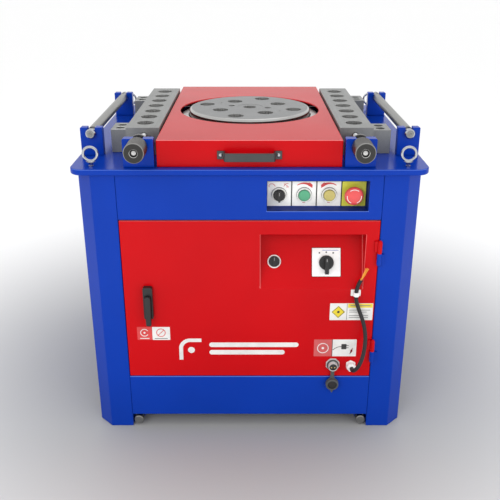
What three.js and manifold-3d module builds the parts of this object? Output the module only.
// Rebar bender: a steel cabinet with a turntable, two perforated hole bars and two feed rollers on its top plate.
// Millimetres, +Z up. Inside the machine group x is to the right, y = 0 is the front plane of the corner posts,
// y grows towards the back, and z = 0 is the floor. The group is shifted so that the whole machine is centred.
import * as THREE from 'three';
import { mergeVertices } from 'three/addons/utils/BufferGeometryUtils.js';
import Module from 'manifold-3d';

const wasm = await Module();
wasm.setup();

// ---------------------------------------------------------------- driving dimensions
const GAP = 0.3;                      // clearance between pieces that touch
const SHEET = 4;                      // cabinet sheet, with its paint
const body = { half: 369, depth: 670, top: 640, chamfer: 32, seam: 285, skirt: 34, flange: 24 };
const door = { half: 283.5, low: 143.5, high: 535.5, skin: 3, depth: 18 };
const top = { half: 380, low: 640, high: 653, overhang: 12, corner: 30 };
const deck = top.high + GAP;          // where the pieces on the top plate stand
const cover = { half: 195, front: 7, back: 661, high: 711, wall: 4, hole: 172 };
const disc = { y: 335, radius: 150, low: 690.3, high: 716, pinHole: 19, turn: 28 };
const mainShaftSizes = { radius: 50, seat: 152, flange: 170, rim: 699.5 };      // the turntable's shaft and its seat ring
const bar = { x: 235.5, half: 37, front: 100, length: 500, low: 683, high: 716, pitch: 66.5, count: 7 };
const screw = { x: 233, z: 698, knob: 22, front: -52, neck: 9.5, collar: 20, thread: 7 };
const roller = { x: { left: 349.5, right: 352 }, z: 703, radius: 11, neck: 8, front: 94, back: 562 };
const stand = { half: 24.4, thickness: 20, high: 715.5, fronts: [104, 532] };
const block = { inner: 273, high: 706, bolt: 10, length: 67 };
const blockOuter = { left: [311, 309], right: [315, 308] };    // front and rear
const blockStart = { left: [130, 468], right: [120, 474] };
const eye = { ring: 14, wire: 4, height: 26, spots: [[335.5, 17], [348, 640]] };
const latch = { x: -229, z: 352 };
const hinge = { x: 285, y: -5.6, radius: 5.25, pin: 3, joints: [461, 214], half: 31 };
const controls = { left: 37, right: 255, low: 557, high: 624.5, depth: 35, pitch: 54.5, z: 586 };
const recess = { left: 23.5, right: 254.5, low: 372, high: 503, depth: 55 };
const drive = { wheel: 88, wheelLow: 495, wheelHigh: 545, z: 520, worm: 26, pulleyX: 190, pulleyWidth: 40 };
const motor = { z: 150, radius: 85, left: -130, right: 110 };
const wormY = disc.y + drive.wheel + drive.worm + 0.8;
const knobFront = -screw.front;       // how far the adjusting screws reach in front of the posts
const rearEdge = body.depth + top.overhang;

// ---------------------------------------------------------------- materials
const paint = (color, roughness = 0.35) => new THREE.MeshStandardMaterial({ color, roughness, metalness: 0 });
const metal = (color, roughness = 0.35) => new THREE.MeshStandardMaterial({ color, roughness, metalness: 1 });
const blue = () => paint(0x143ca8, 0.3);
const red = () => paint(0xc8111b, 0.3);
const ground = () => metal(0x969b9b, 0.4);
const zinc = () => metal(0xd0d2d4, 0.25);
const darkSteel = () => metal(0x464644, 0.5);
const castGrey = () => paint(0x5a6064, 0.6);
const black = () => paint(0x1a1a1b, 0.5);
const white = () => paint(0xd8d8d8, 0.5);

// ---------------------------------------------------------------- solids
// A closed geometry becomes a solid: shared vertices are merged, collapsed triangles dropped, faces turned out.
function solid(geometry) {
  const plain = geometry.clone();
  plain.deleteAttribute('normal');
  plain.deleteAttribute('uv');
  const merged = mergeVertices(plain, 1e-4);
  const places = merged.attributes.position;
  const index = merged.index.array;
  const triangles = [];
  let volume = 0;
  const [a, b, c] = [new THREE.Vector3(), new THREE.Vector3(), new THREE.Vector3()];
  for (let i = 0; i < index.length; i += 3) {
    const [p, q, r] = [index[i], index[i + 1], index[i + 2]];
    if (p === q || q === r || r === p) continue;
    triangles.push(p, q, r);
    a.fromBufferAttribute(places, p);
    b.fromBufferAttribute(places, q);
    c.fromBufferAttribute(places, r);
    volume += a.dot(b.cross(c));
  }
  if (volume < 0) triangles.reverse();
  const mesh = new wasm.Mesh({
    numProp: 3,
    vertProperties: Float32Array.from(places.array),
    triVerts: Uint32Array.from(triangles),
  });
  return new wasm.Manifold(mesh);
}

const join = (first, ...rest) => rest.reduce((whole, piece) => whole.add(piece), first);
const cut = (first, ...rest) => rest.reduce((whole, piece) => whole.subtract(piece), first);

function geometryOf(piece) {
  const mesh = piece.getMesh();
  const geometry = new THREE.BufferGeometry();
  geometry.setAttribute('position', new THREE.BufferAttribute(mesh.vertProperties, 3));
  geometry.setIndex(new THREE.BufferAttribute(mesh.triVerts, 1));
  geometry.computeVertexNormals();
  return geometry;
}

function box(x0, x1, y0, y1, z0, z1) {
  const geometry = new THREE.BoxGeometry(x1 - x0, y1 - y0, z1 - z0);
  return solid(geometry.translate((x0 + x1) / 2, (y0 + y1) / 2, (z0 + z1) / 2));
}

// The basis that turns a flat outline drawn in (first, second) and extruded along the third axis.
const planes = {
  x: new THREE.Matrix4().makeBasis(new THREE.Vector3(0, 1, 0), new THREE.Vector3(0, 0, 1), new THREE.Vector3(1, 0, 0)),
  y: new THREE.Matrix4().makeBasis(new THREE.Vector3(0, 0, 1), new THREE.Vector3(1, 0, 0), new THREE.Vector3(0, 1, 0)),
  z: new THREE.Matrix4(),
};

// An outline extruded along an axis: (y, z) points along x, (z, x) points along y, (x, y) points along z.
function slab(axis, outline, from, to, curveSegments = 8) {
  const shape = Array.isArray(outline) ? new THREE.Shape(outline.map(([u, v]) => new THREE.Vector2(u, v))) : outline;
  const geometry = new THREE.ExtrudeGeometry(shape, { depth: to - from, bevelEnabled: false, curveSegments });
  geometry.translate(0, 0, from);
  return solid(geometry.applyMatrix4(planes[axis]));
}

// A straight round bar along an axis. u and v are the centre, in the axis's own outline order above.
function rod(axis, radius, from, to, u = 0, v = 0, segments = 16) {
  const geometry = new THREE.CylinderGeometry(radius, radius, to - from, segments);
  geometry.rotateX(Math.PI / 2).translate(u, v, (from + to) / 2);
  return solid(geometry.applyMatrix4(planes[axis]));
}

// A profile of (radius, place along the axis) points, starting and ending on the axis, turned round it.
function turned(axis, profile, u = 0, v = 0, segments = 24) {
  const geometry = new THREE.LatheGeometry(profile.map(([r, h]) => new THREE.Vector2(r, h)), segments);
  geometry.rotateX(Math.PI / 2).translate(u, v, 0);
  return solid(geometry.applyMatrix4(planes[axis]));
}

function roundedOutline(u0, u1, v0, v1, r) {
  const shape = new THREE.Shape();
  shape.absarc(u1 - r, v1 - r, r, 0, Math.PI / 2);
  shape.absarc(u0 + r, v1 - r, r, Math.PI / 2, Math.PI);
  shape.absarc(u0 + r, v0 + r, r, Math.PI, 1.5 * Math.PI);
  shape.absarc(u1 - r, v0 + r, r, 1.5 * Math.PI, 2 * Math.PI);
  return shape;
}

// ---------------------------------------------------------------- scene graph
const machine = new THREE.Group();
machine.position.y = (knobFront - rearEdge) / 2;

function place(name, piece, material, parent = machine) {
  const mesh = new THREE.Mesh(geometryOf(piece), material);
  mesh.name = name;
  parent.add(mesh);
  return mesh;
}

const sides = [['left', -1], ['right', 1]];
const ends = ['front', 'rear'];

// ---------------------------------------------------------------- cabinet
// One side of the cabinet: a sheet folded into a chamfered post at each end, standing on two foot pads.
function sidePanel(sign) {
  const { half, depth, chamfer, seam, flange } = body;
  const turn = SHEET * Math.tan(Math.PI / 8);
  const frontHalf = [
    [seam, flange], [seam, 0], [half - chamfer, 0], [half, chamfer],
  ];
  const innerHalf = [
    [half - SHEET, chamfer + turn], [half - chamfer - turn, SHEET], [seam + SHEET, SHEET], [seam + SHEET, flange],
  ];
  const mirrored = (points) => points.map(([x, y]) => [x, depth - y]).reverse();
  const outline = [...frontHalf, ...mirrored(frontHalf), ...mirrored(innerHalf), ...innerHalf];
  const footDepth = 84;
  const foot = [[seam, 0], [half - chamfer, 0], [half, chamfer], [half, footDepth], [seam, footDepth]];
  const signed = (points) => points.map(([x, y]) => [sign * x, y]);
  const clear = box(sign * seam - 90, sign * seam + 90, footDepth, depth - footDepth, -1, body.skirt);
  const rearFoot = foot.map(([x, y]) => [x, depth - y]);
  return join(
    cut(slab('z', signed(outline), 0, body.top - GAP), clear),
    slab('z', signed(foot), 0, SHEET),
    slab('z', signed(rearFoot), 0, SHEET),
  );
}

// The upper front panel with its sunk control tray and a stiffening flange along its lower edge.
function upperFrontPanel() {
  const { left, right, low, high, depth } = controls;
  const wall = 3;
  const edge = body.seam - 0.5;
  const bottom = door.high + 2;
  const sheet = box(-edge, edge, 0, SHEET, bottom, body.top - GAP);
  const flange = box(-edge, edge, 0, body.flange, bottom, bottom + SHEET);
  const tray = box(left - wall, right + wall, 1, depth + wall, low - wall, high + wall);
  return cut(join(sheet, flange, tray), box(left, right, -1, depth, low, high));
}

function lowerFrontPanel() {
  const edge = body.seam - 0.5;
  const upper = door.low - 2;
  return join(
    box(-edge, edge, 0, SHEET, body.skirt, upper),
    box(-edge, edge, 0, body.flange, upper - SHEET, upper),
  );
}

// The rear panel has a grid of long cooling slots low down, beside the motor.
function rearPanel() {
  const edge = body.seam - 0.5;
  const back = body.depth;
  let panel = box(-edge, edge, back - SHEET, back, body.skirt, body.top - GAP);
  for (let row = 0; row < 6; row += 1) {
    const z = 110 + row * 22;
    panel = cut(panel, box(-70, 70, back - SHEET - 1, back + 1, z, z + 8));
  }
  return panel;
}

// The floor of the cabinet, with four lugs below it that hold the two base bars.
const baseBar = { x: 271, z: 15.5, radius: 11.3, lug: 13, lugStart: 26, lugWidth: 8 };

function basePlate() {
  const { x, z, lug, lugStart, lugWidth } = baseBar;
  let plate = box(-body.seam - 2, body.seam + 2, body.flange + 1, body.depth - body.flange - 1, 36, 40);
  for (const [, sign] of sides) {
    for (const y of [lugStart, body.depth - lugStart - lugWidth]) {
      const outline = new THREE.Shape();
      outline.absarc(z, sign * x, lug, Math.PI / 2 + 0.2, 1.5 * Math.PI - 0.2);
      outline.lineTo(37, sign * x - lug - 2);
      outline.lineTo(37, sign * x + lug + 2);
      const hole = rod('y', baseBar.radius + GAP, y - 1, y + lugWidth + 1, z, sign * x);
      plate = cut(join(plate, slab('y', outline, y, y + lugWidth, 4)), hole);
    }
  }
  return plate;
}

function topPlate() {
  const { half, low, high, overhang, corner } = top;
  const outline = roundedOutline(-half, half, -overhang, rearEdge, corner);
  let plate = slab('z', outline, low, high, 3);
  plate = cut(plate, rod('z', 92, low - 1, high + 1, 0, disc.y, 24));
  for (const [, sign] of sides) {
    for (const [x, y] of eye.spots) plate = cut(plate, rod('z', 4.5, low - 1, high + 1, sign * x, y, 10));
  }
  return plate;
}

function buildCabinet() {
  for (const [side, sign] of sides) {
    place(`${side}_side_panel`, sidePanel(sign), blue());
    const base = rod('y', baseBar.radius, 2, body.depth - 2, baseBar.z, sign * baseBar.x, 20);
    place(`${side}_base_bar`, base, ground());
  }
  place('upper_front_panel', upperFrontPanel(), blue());
  place('lower_front_panel', lowerFrontPanel(), blue());
  place('rear_panel', rearPanel(), blue());
  place('base_plate', basePlate(), blue());
  place('top_plate', topPlate(), blue());
}

// ---------------------------------------------------------------- top of the machine
function eyeBolt() {
  const ring = new THREE.TorusGeometry(eye.ring, eye.wire, 6, 16);
  ring.rotateX(Math.PI / 2).translate(0, 0, top.high + eye.height);
  const neckTop = top.high + eye.height - eye.ring;
  return join(
    solid(ring),
    turned('z', [[0, deck], [10, deck], [10, deck + 4], [6, neckTop], [0, neckTop]], 0, 0, 12),
    rod('z', 4, top.low - 12, deck + 1, 0, 0, 10),
  );
}

// A bracket with a notch open at the top, in which a shaft's neck rests and turns.
function notchedBracket(half, low, high, thickness, notch, notchZ, chamfer) {
  const outline = [
    [low, -half], [high - chamfer, -half], [high, chamfer - half], [high, half - chamfer], [high - chamfer, half],
    [low, half],
  ];
  const notchCut = join(
    rod('y', notch, -1, thickness + 1, notchZ, 0),
    box(-notch, notch, -1, thickness + 1, notchZ, high + 1),
  );
  return cut(slab('y', outline, 0, thickness), notchCut);
}

function feedRoller() {
  const { radius, neck, front, back } = roller;
  const profile = [[0, front], [radius, front]];
  for (const y of stand.fronts) {
    profile.push([radius, y - 0.5], [neck, y - 0.5], [neck, y + stand.thickness + 0.5]);
    profile.push([radius, y + stand.thickness + 0.5]);
  }
  profile.push([radius, back], [0, back]);
  return turned('y', profile, roller.z, 0, 18);
}

function stopBlock(sign, outer) {
  const { inner, high, bolt, length } = block;
  const boltX = (inner + outer) / 2;
  const [near, far] = [sign * inner, sign * outer].sort((a, b) => a - b);
  let piece = box(near, far, 0, length, deck, high);
  for (const y of [19, 47]) {
    piece = cut(
      piece,
      rod('z', bolt, high - 13, high + 1, sign * boltX, y, 12),
      rod('z', 5.5, deck - 1, high, sign * boltX, y, 8),
    );
  }
  return piece;
}

// A perforated bar: a row of through holes for bending pins, and a bore in its front end for its screw.
function holeBar(sign) {
  const { half, front, length, low, high, pitch, count } = bar;
  const centre = front + length / 2;
  let piece = box(-half, half, front, front + length, low, high);
  for (let i = 0; i < count; i += 1) {
    const y = centre + (i - (count - 1) / 2) * pitch;
    piece = cut(piece, rod('z', disc.pinHole, low - 1, high + 1, 0, y));
  }
  const firstHole = centre - ((count - 1) / 2) * pitch;
  return cut(piece, rod('y', screw.thread + 0.8, front - 1, firstHole, screw.z, sign * (screw.x - bar.x), 12));
}

// An adjusting screw: knurled head, neck that turns in the bracket, collar behind it, and the threaded end.
function adjustingScrew() {
  const { z, knob, front, neck, collar, thread } = screw;
  return turned('y', [
    [0, front + 1], [5.5, front + 1], [5.5, front + 4], [8, front + 4], [8, front], [knob - 2, front],
    [knob, front + 2], [knob, 1], [knob - 2, 3], [neck, 3], [neck, 28], [collar, 28], [collar, 34], [thread, 34],
    [thread, bar.front + 22], [0, bar.front + 22],
  ], z, 0, 18);
}

function buildTop() {
  for (const [side, sign] of sides) {
    for (const [i, end] of ends.entries()) {
      const bolt = place(`eye_bolt_${side}_${end}`, eyeBolt(), zinc());
      bolt.position.set(sign * eye.spots[i][0], eye.spots[i][1], 0);
      const shape = notchedBracket(stand.half, deck, stand.high, stand.thickness, roller.neck + GAP, roller.z, 1.5);
      const bracket = place(`roller_bracket_${side}_${end}`, shape, blue());
      bracket.position.set(sign * roller.x[side], stand.fronts[i], 0);
      const stop = place(`stop_block_${side}_${end}`, stopBlock(sign, blockOuter[side][i]), ground());
      stop.position.y = blockStart[side][i];
    }
    place(`feed_roller_${side}`, feedRoller(), ground()).position.x = sign * roller.x[side];
    place(`hole_bar_${side}`, holeBar(sign), ground()).position.x = sign * bar.x;
    const bed = box(-bar.half + 1.5, bar.half - 1, bar.front + 4, bar.front + bar.length - 4, deck, bar.low - GAP);
    place(`bar_bed_${side}`, bed, castGrey()).position.x = sign * bar.x;
    const notch = notchedBracket(32.5, deck, 714, 22, screw.neck + GAP, screw.z, 2);
    place(`screw_bracket_${side}`, notch, blue()).position.set(sign * screw.x, 5, 0);
    place(`adjusting_screw_${side}`, adjustingScrew(), darkSteel()).position.x = sign * screw.x;
  }
}

// ---------------------------------------------------------------- disc cover
function discCover() {
  const { half, front, back, high, wall, hole } = cover;
  const shell = cut(
    box(-half, half, front, back, deck, high),
    box(wall - half, half - wall, front + wall, back - wall, deck - 1, high - wall),
  );
  return cut(shell, rod('z', hole, high - wall - 1, high + 1, 0, disc.y, 40));
}

// A flat bow handle: two end tabs against the cover and a raised strip between them.
function coverHandle() {
  const seat = cover.front - GAP;
  const reach = seat - 25;
  const outline = [
    [-68, seat], [-50, seat], [-44, reach + 3], [44, reach + 3], [50, seat], [68, seat], [68, seat - 3],
    [53, seat - 3], [48, reach], [-48, reach], [-53, seat - 3], [-68, seat - 3],
  ];
  return slab('z', outline, 671, 689);
}

function buildCover() {
  place('disc_cover', discCover(), red());
  place('cover_handle', coverHandle(), castGrey());
}

// ---------------------------------------------------------------- turntable
const polar = (radius, degrees) => [
  radius * Math.cos(THREE.MathUtils.degToRad(degrees)),
  radius * Math.sin(THREE.MathUtils.degToRad(degrees)),
];

// The working disc: two rings of four pin holes, a centre bore with a recessed ring, and four small holes.
function workingDisc() {
  const { radius, low, high, pinHole, turn } = disc;
  let piece = turned('z', [
    [0, low], [radius, low], [radius, high - 8], [radius - 2.5, high - 2.5], [radius - 8, high], [0, high],
  ], 0, 0, 36);
  const drill = (r, ring, degrees, segments) => {
    const [x, y] = polar(ring, degrees);
    piece = cut(piece, rod('z', r, low - 1, high + 1, x, y, segments));
  };
  for (let i = 0; i < 4; i += 1) {
    drill(pinHole, radius * 0.75, turn + 45 + 90 * i, 16);
    drill(pinHole, radius * 0.54, turn + 90 * i, 16);
  }
  for (const side of [0, 180]) {
    drill(8, radius * 0.31, side - 16, 12);
    drill(3, radius * 0.6, side - 36, 8);
  }
  drill(16, 0, 0, 16);
  return cut(piece, rod('z', 33, high - 1.5, high + 1, 0, 0, 16));
}

function mainShaft() {
  const { radius, flange, seat, rim } = mainShaftSizes;
  const { low } = disc;
  return turned('z', [
    [0, 466], [30, 466], [30, 490], [radius, 490], [radius, 666], [flange - 12, 666], [flange, 676],
    [flange, rim - 2], [flange - 2, rim], [seat, rim], [seat, low - GAP], [0, low - GAP],
  ], 0, 0, 36);
}

function wormWheel() {
  const teeth = 24;
  const outline = new THREE.Shape();
  for (let i = 0; i < teeth; i += 1) {
    const corners = [[-5.4, -6], [-2.4, 0], [2.4, 0], [5.4, -6]];
    for (const [turn, depth] of corners) {
      const [x, y] = polar(drive.wheel + depth, i * (360 / teeth) + turn);
      if (i === 0 && depth < 0 && turn < 0) outline.moveTo(x, y);
      else outline.lineTo(x, y);
    }
  }
  const blank = slab('z', outline, drive.wheelLow, drive.wheelHigh);
  return cut(blank, rod('z', mainShaftSizes.radius + 1.2, drive.wheelLow - 1, drive.wheelHigh + 1));
}

// The worm shaft, with the worm's ridges in the middle. Its right end carries the driven pulley.
function wormShaft() {
  const root = drive.worm - 6;
  const pitch = 22;
  const profile = [[0, -166], [18, -166], [18, -48], [root, -48]];
  for (let i = -2; i <= 1; i += 1) {
    const x = (i + 0.5) * pitch;
    profile.push([root, x - 7], [drive.worm, x - 3], [drive.worm, x + 3], [root, x + 7]);
  }
  profile.push([root, 48], [18, 48], [18, drive.pulleyX + drive.pulleyWidth], [0, drive.pulleyX + drive.pulleyWidth]);
  return turned('x', profile, wormY, drive.z, 14);
}

function pulley(radius, bore) {
  const [left, right] = [drive.pulleyX, drive.pulleyX + drive.pulleyWidth];
  const groove = radius - 9;
  const profile = [
    [0, left], [radius, left], [radius, left + 4], [groove, left + 5], [groove, right - 5], [radius, right - 4],
    [radius, right], [0, right],
  ];
  const wheel = turned('x', profile, 0, 0, 24);
  return bore ? cut(wheel, rod('x', bore, left - 1, right + 1)) : wheel;
}

function buildTurntable() {
  const turntable = new THREE.Group();
  turntable.position.y = disc.y;
  machine.add(turntable);
  place('working_disc', workingDisc(), ground(), turntable);
  place('main_shaft', mainShaft(), ground(), turntable);
  place('worm_wheel', wormWheel(), metal(0xb08d4a, 0.4), turntable);
  place('worm_shaft', wormShaft(), darkSteel());
  place('driven_pulley', pulley(100, 18.6), castGrey()).position.set(0, wormY, drive.z);
}

// ---------------------------------------------------------------- drive inside the cabinet
// The gearbox: a box round the worm gear, with a neck up through the top plate that carries the main shaft.
function gearboxHousing() {
  const [front, back] = [disc.y - 110, disc.y + 165];
  const shell = cut(
    box(-130, 130, front, back, 454, body.top - GAP),
    box(-118, 118, front + 12, back - 12, 478, 612),
  );
  const neck = rod('z', 90, 612, 662, 0, disc.y, 24);
  return cut(
    join(shell, neck),
    rod('z', mainShaftSizes.radius + 1.2, 600, 664, 0, disc.y, 24),
    rod('z', 30.8, 453, 480, 0, disc.y, 20),
    rod('x', 18.8, -132, 132, wormY, drive.z, 16),
    box(-60, 60, front - 1, front + 13, 500, 590),
  );
}

function motorBody() {
  const feet = join(
    box(-95, 75, wormY - 75, wormY - 45, 40 + GAP, motor.z - 60),
    box(-95, 75, wormY + 45, wormY + 75, 40 + GAP, motor.z - 60),
  );
  const frame = rod('x', motor.radius, motor.left, motor.right, wormY, motor.z, 24);
  const terminalBox = box(-60, 20, wormY - 40, wormY + 40, motor.z + 70, motor.z + 125);
  return cut(join(frame, feet, terminalBox), rod('x', 14.6, motor.right - 30, motor.right + 1, wormY, motor.z, 16));
}

function motorPulley() {
  const shaft = rod('x', 14, motor.right - 28, drive.pulleyX + 1, 0, 0, 16);
  return join(pulley(40, 0), shaft);
}

// The belts as one ring in the pulleys' grooves: straight runs between two arcs.
function beltOutline(big, small) {
  const distance = drive.z - motor.z;
  const lean = Math.asin((big - small) / distance);
  const shape = new THREE.Shape();
  shape.absarc(0, drive.z, big, -lean, Math.PI + lean);
  shape.absarc(0, motor.z, small, Math.PI + lean, 2 * Math.PI - lean);
  return shape;
}

function driveBelt() {
  const [left, right] = [drive.pulleyX + 7, drive.pulleyX + drive.pulleyWidth - 7];
  return cut(
    slab('x', beltOutline(99, 39), left, right, 6),
    slab('x', beltOutline(93, 32.6), left - 1, right + 1, 6),
  );
}

// The electrical panel on the left side: a back plate, with contactors, a breaker and a terminal row on it.
function electricalPanel() {
  const wall = SHEET - body.half + GAP;
  return join(
    box(wall, wall + 3, 130, 430, 210, 500),
    box(wall + 2, wall + 72, 160, 215, 400, 480),
    box(wall + 2, wall + 72, 230, 285, 400, 480),
    box(wall + 2, wall + 62, 310, 390, 400, 480),
    box(wall + 2, wall + 80, 160, 260, 280, 370),
    box(wall + 2, wall + 42, 160, 390, 230, 255),
  );
}

function buildDrive() {
  place('gearbox_housing', gearboxHousing(), castGrey());
  place('motor', motorBody(), castGrey());
  place('motor_pulley', motorPulley(), castGrey()).position.set(0, wormY, motor.z);
  place('v_belt', driveBelt(), black()).position.y = wormY;
  place('electrical_panel', electricalPanel(), white());
}

// ---------------------------------------------------------------- door
// The door hangs on its hinge axis: inside this group the origin is on that axis, at floor height.
const leaf = new THREE.Group();
leaf.position.set(hinge.x, hinge.y, 0);
machine.add(leaf);
const onDoor = (piece) => piece.translate([-hinge.x, -hinge.y, 0]);

// The slanted instrument panel's place and tilt: flush with the door at its lower edge, sunk at its upper edge.
const lean = Math.atan2(recess.depth, recess.high - recess.low);
const instruments = new THREE.Group();
instruments.position.set(-hinge.x, -hinge.y, recess.low);
instruments.rotation.x = -lean;
leaf.add(instruments);
const panelUp = (428 - recess.low) / Math.cos(lean);

function doorPanel() {
  const { half, low, high, skin, depth } = door;
  const pan = cut(
    box(-half, half, 0, depth, low, high),
    box(skin - half, half - skin, skin, depth + 1, low + skin, high - skin),
  );
  const wall = 3;
  const slope = (recess.high - recess.low) / recess.depth;
  const rise = wall / Math.sin(Math.atan(1 / slope));
  const outerTop = recess.high + wall;
  const outerLow = recess.low - rise;
  const outer = [[0, outerLow], [(outerTop - outerLow) / slope, outerTop], [0, outerTop]];
  const inner = [[-1, recess.low - slope], [recess.depth, recess.high], [-1, recess.high]];
  const tray = slab('x', outer, recess.left - wall, recess.right + wall);
  let piece = cut(join(pan, tray), slab('x', inner, recess.left, recess.right));
  for (const z of hinge.joints) {
    const notch = box(hinge.x - 6.5, hinge.x + 1, -1, depth + 1, z - hinge.half - 2, z + hinge.half + 2);
    const barrel = rod('z', hinge.radius, z + GAP, z + hinge.half, hinge.x, hinge.y, 12);
    const lug = box(hinge.x - 12, hinge.x - 4, hinge.y + 1, 1, z + 4, z + hinge.half - 2);
    const bore = rod('z', hinge.pin + 0.2, z - 1, z + hinge.half - 6, hinge.x, hinge.y, 12);
    piece = cut(join(cut(piece, notch), barrel, lug), bore);
  }
  return cut(piece, rod('y', 4, -1, skin + 1, latch.z, latch.x, 12));
}

// The lower, fixed half of a lift-off hinge, with the pin that stands up into the door's half.
function hingeLower(z) {
  const tab = box(hinge.x + 2, hinge.x + 12, hinge.y + 1.5, -GAP, z - hinge.half + 3, z - 3);
  return join(
    rod('z', hinge.radius, z - hinge.half, z, hinge.x, hinge.y, 12),
    rod('z', hinge.pin, z - 1, z + hinge.half - 8, hinge.x, hinge.y, 12),
    tab,
  );
}

// The latch lever: a grip that hangs from its spindle, which passes through the door to a short tongue.
function latchLever() {
  const tongue = box(-52, 8, door.depth + 1, door.depth + 5, -8, 8);
  return join(
    box(-7, 7, -21, -13, -65, 9),
    rod('y', 6, -14, -9, 0, 0, 12),
    rod('y', 3.6, -10, door.depth + 2, 0, 0, 12),
    tongue,
  );
}

const latchHousing = () => cut(
  box(-10.5, 10.5, -12, -GAP, 301, 380),
  rod('y', 6.8, -13, 0, latch.z, 0, 12),
);

// A round knob on the slanted panel or the control plates: (radius, height) with a raised grip bar across it.
function knobWithBar(radius, height, barWidth, barLength, barHeight, barTop = radius - 2) {
  return join(
    turned('y', [[0, -height], [radius - 1, -height], [radius, 1 - height], [radius, -GAP], [0, -GAP]], 0, 0, 16),
    box(-barWidth / 2, barWidth / 2, -height - barHeight, 1 - height, -barLength, barTop),
  );
}

const socket = { x: 195.5, z: 176 };

// The pedal socket: a round nut against the door, a barrel, and a contact insert set back in its mouth.
function pedalSocket() {
  const nut = slab('y', Array.from({ length: 8 }, (_, i) => polar(17.2, i * 45 + 22.5)), -4, -GAP);
  const barrel = rod('y', 11, -16, -1);
  const mouth = rod('y', 8.8, -17, -9);
  const pins = [-4.9, 4.9].map((x) => rod('y', 1.3, -12, -8, 2, x, 6));
  return join(cut(join(nut, barrel), mouth), ...pins);
}

// The socket's rubber cap, hanging by a strap whose ring turns round the barrel.
function socketCap() {
  const ring = cut(rod('y', 14, -7.5, -4.5), rod('y', 11.5, -8, -4));
  const strap = box(-4, 4, -7.5, -4.5, -38, -12.5);
  const tip = slab('y', [[-75, 1.5], [-75, -1.5], [-62, -7], [-62, 7]], -7.5, -4.5);
  const cap = cut(rod('y', 15.3, -15, -4.5, -50), rod('y', 11, -16, -11, -50));
  return join(ring, strap, tip, cap);
}

const gland = { x: 238, z: 175, mouth: -20 };

function cableGland() {
  const hexagon = (r) => Array.from({ length: 6 }, (_, i) => polar(r, i * 60 + 30));
  return cut(
    join(
      slab('y', hexagon(14), -5, -GAP),
      rod('y', 10.5, -9, -4),
      slab('y', hexagon(13), -17, -8),
      turned('y', [[0, gland.mouth], [7, gland.mouth], [9.5, -16], [0, -16]], 0, 0, 16),
    ),
    rod('y', 4.9, gland.mouth - 1, -6, 0, 0, 12),
  );
}

// The supply cable: straight out of the gland, up in one loose curve, and through the clip near its end.
const cableRoute = [
  [238, -20.3, 175], [238.3, -29, 176.5], [240.5, -37, 181], [245.5, -42, 189.5], [251.5, -43, 201.5],
  [257, -40, 215.5], [261, -35, 232], [263.2, -29, 248], [263.5, -23, 265], [261.5, -18, 281],
  [257.6, -14.5, 297], [252.3, -12, 312], [247, -10.5, 326], [242.3, -10, 340], [239.6, -10, 353],
  [238.9, -10, 366], [240.4, -10.5, 379], [243.3, -11, 390], [247.2, -11.5, 399],
];
const cable = { radius: 4.5, steps: 26, halfSides: 5 };

function supplyCable() {
  const path = new THREE.CatmullRomCurve3(cableRoute.map((p) => new THREE.Vector3(...p)));
  const section = new THREE.Shape().absarc(0, 0, cable.radius, 0, 2 * Math.PI);
  const settings = { steps: cable.steps, curveSegments: cable.halfSides, bevelEnabled: false, extrudePath: path };
  return solid(new THREE.ExtrudeGeometry(section, settings));
}

const cableClip = () => cut(
  box(228, 250, -16.5, -GAP, 356, 371.5),
  rod('z', 5.5, 355, 373, 239.3, -10, 12),
);

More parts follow.
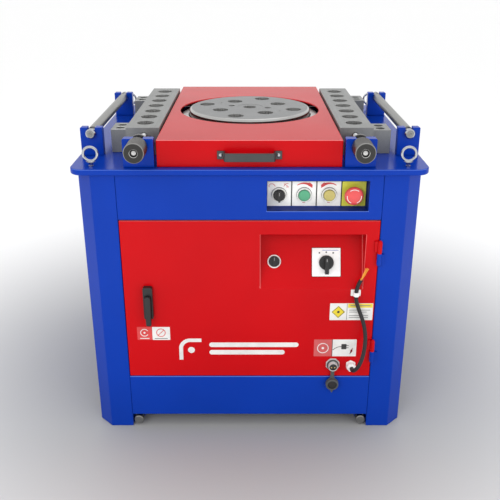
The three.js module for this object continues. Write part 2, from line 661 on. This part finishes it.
function buildDoor() {
  place('door_panel', onDoor(doorPanel()), red(), leaf);
  for (const [i, where] of ['upper', 'lower'].entries()) {
    place(`hinge_${where}_frame_half`, hingeLower(hinge.joints[i]), blue());
  }
  const spot = (mesh, x, z) => mesh.position.set(x - hinge.x, -hinge.y, z);
  spot(place('latch_housing', latchHousing(), black(), leaf), latch.x, 0);
  spot(place('latch_lever', latchLever(), black(), leaf), latch.x, latch.z);
  spot(place('pedal_socket', pedalSocket(), zinc(), leaf), socket.x, socket.z);
  spot(place('socket_cap', socketCap(), black(), leaf), socket.x, socket.z);
  spot(place('cable_gland', cableGland(), white(), leaf), gland.x, gland.z);
  place('supply_cable', onDoor(supplyCable()), black(), leaf);
  place('cable_clip', onDoor(cableClip()), white(), leaf);
  const doorKnob = place('door_knob', knobWithBar(13, 12, 6, 11, 6), black(), instruments);
  doorKnob.position.set(55.2, 0, panelUp + 1.5);
  const mainSwitch = place('main_switch_knob', knobWithBar(16.5, 9, 8.4, 26, 13, 9.5), black(), instruments);
  mainSwitch.position.set(172.3, 0, panelUp - 1.3);
}

// ---------------------------------------------------------------- control buttons
const controlGroup = new THREE.Group();
controlGroup.position.set(controls.left + controls.pitch / 2, controls.depth, controls.z);
machine.add(controlGroup);

// Each switch's place (across, up) from the middle of the first plate.
const buttonSpots = [[0, -1.8], [controls.pitch, -1.8], [2 * controls.pitch, -1.8], [3 * controls.pitch - 2.6, 0]];

// The four legend plates in one row, with the bezel rings of the switches on them.
function controlPlates() {
  const span = controls.pitch / 2 - 0.7;
  let row = box(-span, 3 * controls.pitch + span, -1.8, -GAP, -28, 28);
  for (let i = 0; i < 4; i += 1) {
    const x = i * controls.pitch;
    if (i) row = cut(row, box(x - controls.pitch / 2 - 0.8, x - controls.pitch / 2 + 0.8, -3, -1, -30, 30));
    const [radius, height] = i === 3 ? [13, 5] : [16, 8];
    const [across, up] = buttonSpots[i];
    row = join(row, rod('y', radius, -height, -1, up, across));
    row = cut(row, rod('y', radius - 2.4, -height - 1, 1, up, across));
  }
  return row;
}

// The caps stop short of the tray behind them by more than their travel.
const buttonCap = (radius) => turned('y', [
  [0, -11], [radius - 1.5, -11], [radius, -9.5], [radius, -5.5], [0, -5.5],
], 0, 0, 16);

const stopButton = () => turned('y', [
  [0, -24.5], [12, -23.5], [18, -21], [20.5, -18], [20.5, -15.5], [15, -13.5], [10, -13], [10, -7.5], [0, -7.5],
], 0, 0, 18);

function buildControls() {
  place('control_plates', controlPlates(), white(), controlGroup);
  const switches = [
    ['mode_selector', knobWithBar(13, 13, 6, 11, 6), black()],
    ['green_button', buttonCap(13), paint(0x5ba87f)],
    ['yellow_button', buttonCap(13), paint(0xc2b96b)],
    ['stop_button', stopButton(), paint(0xe56060)],
  ];
  for (const [i, [name, piece, finish]] of switches.entries()) {
    const [across, up] = buttonSpots[i];
    place(name, piece, finish, controlGroup).position.set(across, 0, up);
  }
}

buildCabinet();
buildTop();
buildCover();
buildTurntable();
buildDrive();
buildDoor();
buildControls();

const group = new THREE.Group();
group.add(machine);
export default group;
